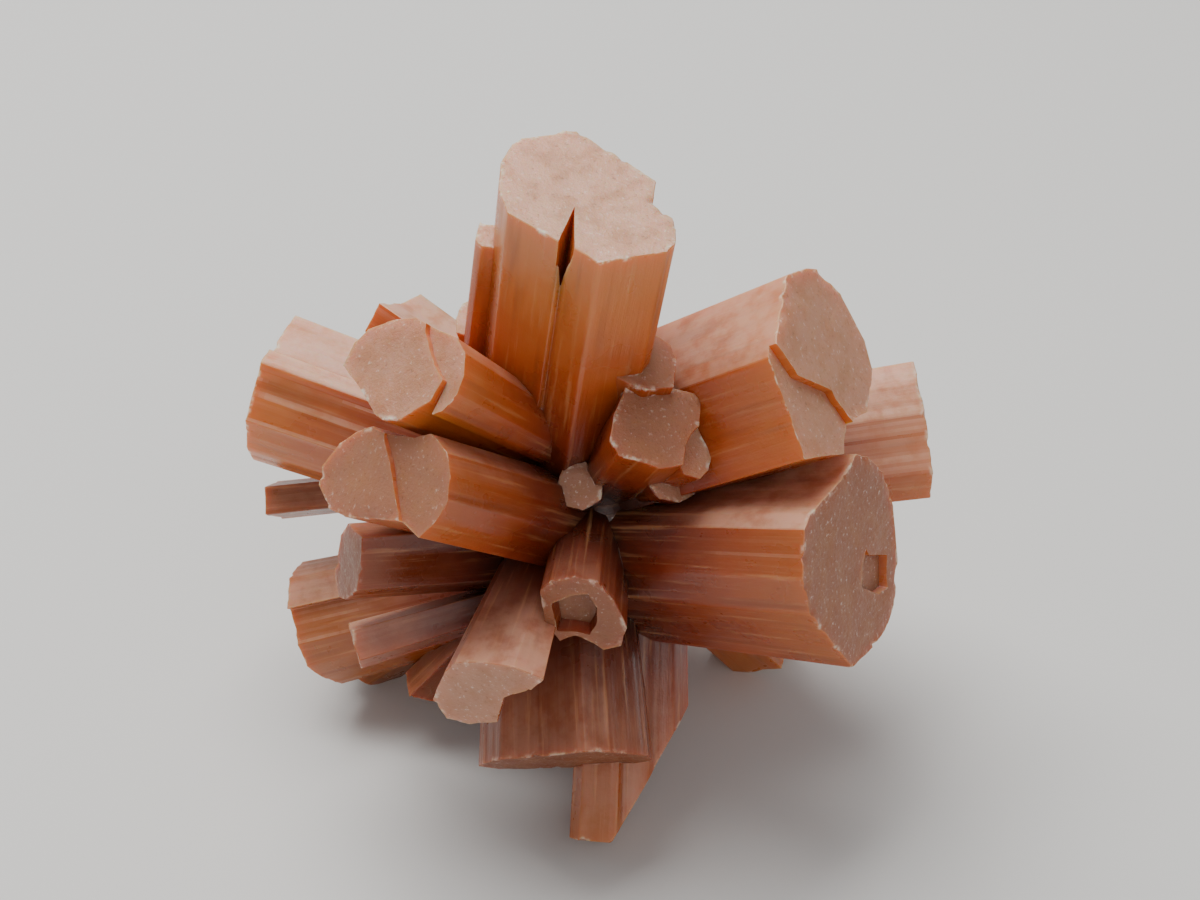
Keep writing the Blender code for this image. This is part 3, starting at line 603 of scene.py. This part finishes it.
def lump(across, round_about):
    """Closed ball: the radius times one plus a small wave of the place, on a grid of two angles."""
    down, turn = np.meshgrid(np.linspace(0, np.pi, across + 1)[1:-1],
                             np.arange(round_about) * 2 * np.pi / round_about, indexing="ij")
    ball = np.stack([np.sin(down) * np.cos(turn), np.sin(down) * np.sin(turn), np.cos(down)], -1)
    ball = np.vstack([ball.reshape(-1, 3), [[0, 0, 1], [0, 0, -1]]]) * LUMP_RADIUS
    wave = np.sin(1.3 * ball[:, 0] + 0.4) * np.cos(1.1 * ball[:, 1]) + np.sin(0.9 * ball[:, 2])
    verts = (CORE + ball * (1 + LUMP_BUMP * wave)[:, None]) * MM
    i, j = np.meshgrid(np.arange(across - 2), np.arange(round_about), indexing="ij")
    k = (j + 1) % round_about
    quads = np.stack([i * round_about + j, (i + 1) * round_about + j,
                      (i + 1) * round_about + k, i * round_about + k], -1).reshape(-1, 4)
    j = np.arange(round_about)
    k = (j + 1) % round_about
    last = (across - 2) * round_about
    north = np.stack([np.full_like(j, len(verts) - 2), j, k], -1)
    south = np.stack([np.full_like(j, len(verts) - 1), last + k, last + j], -1)
    mesh = bpy.data.meshes.new("lump")
    mesh.from_pydata(verts.tolist(), [], quads.tolist() + north.tolist() + south.tolist())
    mesh.uv_layers.new(name="grain")
    add_values(mesh, np.zeros(len(mesh.polygons)), np.full(len(verts), 9.0), PLAIN)
    return bpy.data.objects.new("aragonite_crystals", mesh)


# %% [markdown]
# ## One skin
#
# On the real stone no crystal passes through another. So the bodies are joined into one closed skin,
# their hollows are cut out first, and the tips that stand on the floor are trimmed level.

# %% Joining
def cut(target, other):
    """Takes one closed body out of another."""
    scene.collection.objects.link(target)
    scene.collection.objects.link(other)
    step = target.modifiers.new("cut", "BOOLEAN")
    step.operation, step.solver, step.object = "DIFFERENCE", "MANIFOLD", other
    baked(target)
    bpy.data.objects.remove(other)
    scene.collection.objects.unlink(target)


def baked(item):
    """Replaces an object's mesh by what its modifiers make of it."""
    graph = bpy.context.evaluated_depsgraph_get()
    mesh = bpy.data.meshes.new_from_object(item.evaluated_get(graph), depsgraph=graph)
    item.modifiers.clear()
    item.data = mesh


bodies = bpy.data.collections.new("bodies")
scene.collection.children.link(bodies)
for number, crystal in enumerate(CRYSTALS):
    look = LOOKS.get(crystal.name, PLAIN)
    made = body(crystal.name, crystal, crystal.corners, 0.0, -crystal.length, 1.0, look, 100 * number)
    for hollow in HOLLOWS:
        if hollow.crystal == crystal.name:
            cut(made, body(hollow.name, crystal, hollow.corners, -hollow.depth, CLEARANCE,
                           hollow.shrink, look, 100 * number + 50))
    bodies.objects.link(made)

cluster = lump(40, 80)
scene.collection.objects.link(cluster)
join = cluster.modifiers.new("join", "BOOLEAN")
join.operation, join.solver, join.operand_type, join.collection = "UNION", "MANIFOLD", "COLLECTION", bodies
baked(cluster)
for item in list(bodies.objects):
    bpy.data.objects.remove(item)
bpy.data.collections.remove(bodies)

block = bmesh.new()
bmesh.ops.create_cube(block, size=0.08, matrix=Matrix.Translation((0, 0, -0.04)))
floor_mesh = bpy.data.meshes.new("floor block")
block.to_mesh(floor_mesh)
block.free()
floor_mesh.uv_layers.new(name="grain")
add_values(floor_mesh, np.zeros(6), np.full(8, 9.0), PLAIN)
scene.collection.objects.unlink(cluster)
cut(cluster, bpy.data.objects.new("floor block", floor_mesh))
scene.collection.objects.link(cluster)

skin = cluster.data
skin.shade_smooth()
skin.set_sharp_from_angle(angle=math.radians(30))
triangle_count = sum(len(face.vertices) - 2 for face in skin.polygons)
work = bmesh.new()
work.from_mesh(skin)
open_edges = sum(1 for edge in work.edges if not edge.is_manifold)
volume = work.calc_volume() * 1e9
work.free()
print("skin:", triangle_count, "triangles,", open_edges, "open edges,", round(volume), "cubic mm")
print("values kept:", [item.name for item in skin.attributes if item.name in ("cap", "rim", "look", "grain")])

# %% [markdown]
# ## Faces that look up
#
# Faces that look up are paler and pinker: partly more frost, partly a painted sheen of the light from
# above. How far a face looks up is stored once, so the material can read it like the other values.

# %% Store how far each face looks up
normals = np.zeros(len(skin.polygons) * 3, np.float32)
skin.polygons.foreach_get("normal", normals)
skin.attributes.new("sky", "FLOAT", "FACE").data.foreach_set("value", normals[2::3].copy())
print("share of faces that look up:", round(float((normals[2::3] > 0.5).mean()), 2))

# %% [markdown]
# ## The stone
#
# Aragonite is coloured by traces of iron. Light goes some millimetres in and comes out again orange, so
# the finish has subsurface scattering that goes furthest in red. The colour runs from nearly black at
# the centre through deep red to amber at the ends. The ends are frosted, with pale grains and painted glints.

# %% Node helpers
stone = bpy.data.materials.new("aragonite")
stone.use_nodes = True
tree = stone.node_tree
shader = tree.nodes["Principled BSDF"]


def feed(socket, value):
    """Sets a socket to a constant, or links it when the value is another node's output."""
    if isinstance(value, bpy.types.NodeSocket):
        tree.links.new(value, socket)
    else:
        socket.default_value = value


def calc(operation, first, second=0.0, third=0.0, clamp=False):
    """One step of arithmetic on numbers."""
    node = tree.nodes.new("ShaderNodeMath")
    node.operation, node.use_clamp = operation, clamp
    for socket, value in zip(node.inputs, (first, second, third)):
        feed(socket, value)
    return node.outputs[0]


def blend(share, first, second, kind="MIX"):
    """Mixes two colours by a share from 0 to 1."""
    node = tree.nodes.new("ShaderNodeMix")
    node.data_type, node.blend_type = "RGBA", kind
    feed(node.inputs[0], share)
    feed(node.inputs[6], first)
    feed(node.inputs[7], second)
    return node.outputs[2]


def between(value, low, high, to_low=0.0, to_high=1.0):
    """Carries a number from one range to another with soft ends."""
    node = tree.nodes.new("ShaderNodeMapRange")
    node.interpolation_type = "SMOOTHSTEP"
    for socket, number in zip(node.inputs, (value, low, high, to_low, to_high)):
        feed(socket, number)
    return node.outputs[0]


def cloud(vector, size, detail=3.0, rough=0.6):
    """Random number from 0 to 1 that changes over about the given size in mm."""
    node = tree.nodes.new("ShaderNodeTexNoise")
    feed(node.inputs["Vector"], vector)
    node.inputs["Scale"].default_value = 1.0 / size
    node.inputs["Detail"].default_value = detail
    node.inputs["Roughness"].default_value = rough
    return node.outputs["Fac"]


def stored(name, output="Fac"):
    """Value that was stored on the mesh."""
    node = tree.nodes.new("ShaderNodeAttribute")
    node.attribute_name = name
    return node.outputs[output]


def vector_step(operation, first, second, output=0):
    """One step of arithmetic on places."""
    node = tree.nodes.new("ShaderNodeVectorMath")
    node.operation = operation
    feed(node.inputs[0], first)
    if operation == "SCALE":
        node.inputs["Scale"].default_value = second
    else:
        feed(node.inputs[1], second)
    return node.outputs[output]


def ladder(value, stops):
    """Colour that runs through the stops, each a place from 0 to 1 and a colour."""
    node = tree.nodes.new("ShaderNodeValToRGB")
    feed(node.inputs[0], value)
    points = node.color_ramp.elements
    for index, (place, colour) in enumerate(stops):
        point = points[index] if index < 2 else points.new(place)
        point.position, point.color = place, (*colour, 1.0)
    return node.outputs[0]


print("shader inputs:", len(shader.inputs))

# %% Places and stored values
place_mm = vector_step("SCALE", tree.nodes.new("ShaderNodeTexCoord").outputs["Object"], 1000.0)
from_core = vector_step("LENGTH", vector_step("SUBTRACT", place_mm, tuple(CORE)), (0, 0, 0), 1)
uv_node = tree.nodes.new("ShaderNodeUVMap")
uv_node.uv_map = "grain"
grain = uv_node.outputs[0]
cap, rim, sky = stored("cap"), stored("rim"), stored("sky")
look_node = tree.nodes.new("ShaderNodeSeparateXYZ")
feed(look_node.inputs[0], stored("look", "Vector"))
painted_lightness, rust, frost_and_sheen = look_node.outputs
print("stored values read: cap, rim, sky, look")

# %% Sides
streaks = cloud(vector_step("MULTIPLY", grain, (1.0, 0.06, 1.0)), 0.45, 4.0)
wide_streaks = cloud(vector_step("MULTIPLY", grain, (1.0, 0.10, 1.0)), 1.6, 2.0)
cloudy = cloud(place_mm, 3.0, 3.0)
wander = calc("MULTIPLY", calc("SUBTRACT", cloudy, 0.5), 5.0)
reach = calc("DIVIDE", calc("ADD", from_core, wander), 28.0, clamp=True)
side_colour = ladder(reach, [
    (0.0, (0.030, 0.006, 0.003)), (1.0, (0.66, 0.25, 0.075)), (0.27, (0.060, 0.010, 0.003)),
    (0.38, (0.24, 0.026, 0.004)), (0.52, (0.46, 0.085, 0.010)), (0.72, (0.60, 0.17, 0.030))])
# Painted shade: each crystal's sides are darkened by its lightness value, which is below 1 for crystals that
# sit in shade.
side_colour = blend(1.0, side_colour, blend(painted_lightness, (0.10, 0.06, 0.05, 1), (1, 1, 1, 1)), "MULTIPLY")
side_colour = blend(between(streaks, 0.52, 0.72, 0.0, 0.35), side_colour, (0.72, 0.36, 0.16, 1))
side_colour = blend(between(wide_streaks, 0.48, 0.30, 0.0, 0.45), side_colour, (0.20, 0.035, 0.008, 1))
# Sides that look up turn pale pink: partly frost, partly a painted sheen of the light from above.
sheen_and_frost_pink = (0.74, 0.43, 0.30, 1)
looks_up = between(sky, 0.35, 0.85)
far_out = between(from_core, 8.0, 15.0)
sheen_and_frost_share = calc("MULTIPLY", calc("MULTIPLY", looks_up, frost_and_sheen), far_out)
sheen_and_frost_share = calc("MULTIPLY", sheen_and_frost_share, between(cloud(place_mm, 1.4, 4.0), 0.30, 0.62, 0.45, 0.95), clamp=True)
side_colour = blend(sheen_and_frost_share, side_colour, sheen_and_frost_pink)
print("sides done")

# %% End faces
mottle = cloud(place_mm, 1.5, 4.0)
grains = cloud(place_mm, 0.28, 3.0, 0.7)
end_colour = blend(rust, (0.72, 0.40, 0.27, 1), (0.33, 0.085, 0.018, 1))
end_colour = blend(between(mottle, 0.42, 0.66, 0.0, 0.5), end_colour, (0.46, 0.19, 0.075, 1))
# Painted shade: the end faces are darkened by the same lightness value.
end_colour = blend(1.0, end_colour, blend(painted_lightness, (0.22, 0.16, 0.14, 1), (1, 1, 1, 1)), "MULTIPLY")
# Pale specks on the end faces: partly pale grains, partly painted glints.
grains_and_glints = calc("MULTIPLY", between(grains, 0.60, 0.72), calc("ADD", frost_and_sheen, 0.15))
end_colour = blend(calc("MULTIPLY", grains_and_glints, 0.6, clamp=True), end_colour, (0.86, 0.72, 0.62, 1))
pitted = between(grains, 0.40, 0.30, 0.0, 0.45)
end_colour = blend(pitted, end_colour, (0.20, 0.07, 0.03, 1))
colour = blend(cap, side_colour, end_colour)
chipped = calc("MULTIPLY", between(rim, 0.30, 0.02), between(cloud(place_mm, 0.9, 4.0), 0.52, 0.66))
chipped = calc("MULTIPLY", calc("MULTIPLY", chipped, painted_lightness), 0.8, clamp=True)
colour = blend(chipped, colour, (0.88, 0.74, 0.62, 1))
print("end faces done")

# %% Surface
feed(shader.inputs["Base Color"], colour)
side_rough = between(cloudy, 0.3, 0.7, 0.24, 0.36)
side_rough = calc("ADD", side_rough, calc("MULTIPLY", sheen_and_frost_share, 0.25))
end_rough = between(grains, 0.3, 0.7, 0.60, 0.42)
rough = tree.nodes.new("ShaderNodeMix")
feed(rough.inputs[0], cap)
feed(rough.inputs[2], side_rough)
feed(rough.inputs[3], end_rough)
feed(shader.inputs["Roughness"], rough.outputs[0])
shader.inputs["IOR"].default_value = 1.6
shader.inputs["Subsurface Weight"].default_value = 0.55
shader.inputs["Subsurface Radius"].default_value = (3.0, 0.9, 0.3)
shader.inputs["Subsurface Scale"].default_value = MM

side_height = calc("ADD", calc("MULTIPLY", streaks, 0.05), calc("MULTIPLY", cloud(place_mm, 0.2), 0.02))
end_grain = calc("ADD", calc("MULTIPLY", grains, 0.09), calc("MULTIPLY", mottle, 0.08))
height = tree.nodes.new("ShaderNodeMix")
feed(height.inputs[0], cap)
feed(height.inputs[2], side_height)
feed(height.inputs[3], end_grain)
bump = tree.nodes.new("ShaderNodeBump")
bump.inputs["Strength"].default_value = 0.8
bump.inputs["Distance"].default_value = MM
feed(bump.inputs["Height"], height.outputs[0])
feed(shader.inputs["Normal"], bump.outputs[0])
skin.materials.clear()
skin.materials.append(stone)
print("nodes in the stone:", len(tree.nodes))

# %% [markdown]
# ## Light and floor
#
# The light is soft and comes from above, a little from behind and from the left, so the end faces that
# look up are pale and the lower crystals stand in shade. The floor is a plain pale sheet.

# %% Floor, lights and world
def area_light(name, place, aim, size, power, colour):
    """Square soft light at a place in metres that points at another place."""
    data = bpy.data.lights.new(name, "AREA")
    data.size, data.energy, data.color = size, power, colour
    item = bpy.data.objects.new(name, data)
    item.location = place
    item.rotation_euler = (Vector(aim) - Vector(place)).to_track_quat("-Z", "Y").to_euler()
    scene.collection.objects.link(item)
    return item


centre = (0.0, 0.0, 0.02)
area_light("sky light", (-0.10, 0.12, 0.42), centre, 0.34, 2.6, (1.0, 0.98, 0.95))
area_light("front fill", (0.12, -0.40, 0.22), centre, 0.40, 0.5, (1.0, 0.97, 0.94))

world = bpy.data.worlds.new("studio")
world.use_nodes = True
world.node_tree.nodes["Background"].inputs["Color"].default_value = (0.92, 0.93, 0.95, 1)
world.node_tree.nodes["Background"].inputs["Strength"].default_value = 0.30
scene.world = world

sheet = bmesh.new()
bmesh.ops.create_grid(sheet, x_segments=1, y_segments=1, size=1.5)
sheet_mesh = bpy.data.meshes.new("floor")
sheet.to_mesh(sheet_mesh)
sheet.free()
floor = bpy.data.objects.new("floor", sheet_mesh)
scene.collection.objects.link(floor)
paper = bpy.data.materials.new("pale paper")
paper.use_nodes = True
paper.node_tree.nodes["Principled BSDF"].inputs["Base Color"].default_value = (0.74, 0.74, 0.73, 1)
paper.node_tree.nodes["Principled BSDF"].inputs["Roughness"].default_value = 0.8
floor.data.materials.append(paper)
print("two lights and a floor")

# %% Hand over to the frame
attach(cluster, "root")
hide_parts("aragonite_cluster")
